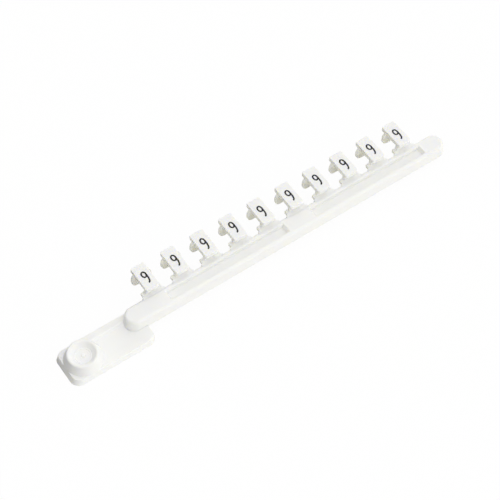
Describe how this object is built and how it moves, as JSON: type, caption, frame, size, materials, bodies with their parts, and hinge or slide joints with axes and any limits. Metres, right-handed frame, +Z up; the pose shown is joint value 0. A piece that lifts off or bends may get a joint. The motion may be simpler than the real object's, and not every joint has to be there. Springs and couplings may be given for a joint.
{
  "type": "terminal marker strip",
  "caption": "Moulded strip of clip-in terminal marker tags on a slender recessed carrier bar, with a flat gripping tab and a dished sprue disc at one end.",
  "frame": {"origin": "under the middle of the strip's outline seen from above, in the plane of the gripping tab's underside", "axes": "+X along the carrier bar from the tab to the plain end, +Y from the bar towards the free ends of the tags, +Z up out of the marker faces"},
  "size_m": [0.122, 0.0176, 0.0084],
  "materials": {
    "white_polyamide": "satin, as moulded"
  },
  "bodies": {
    "root": {"marker_strip": "white_polyamide"}
  },
  "joints": []
}
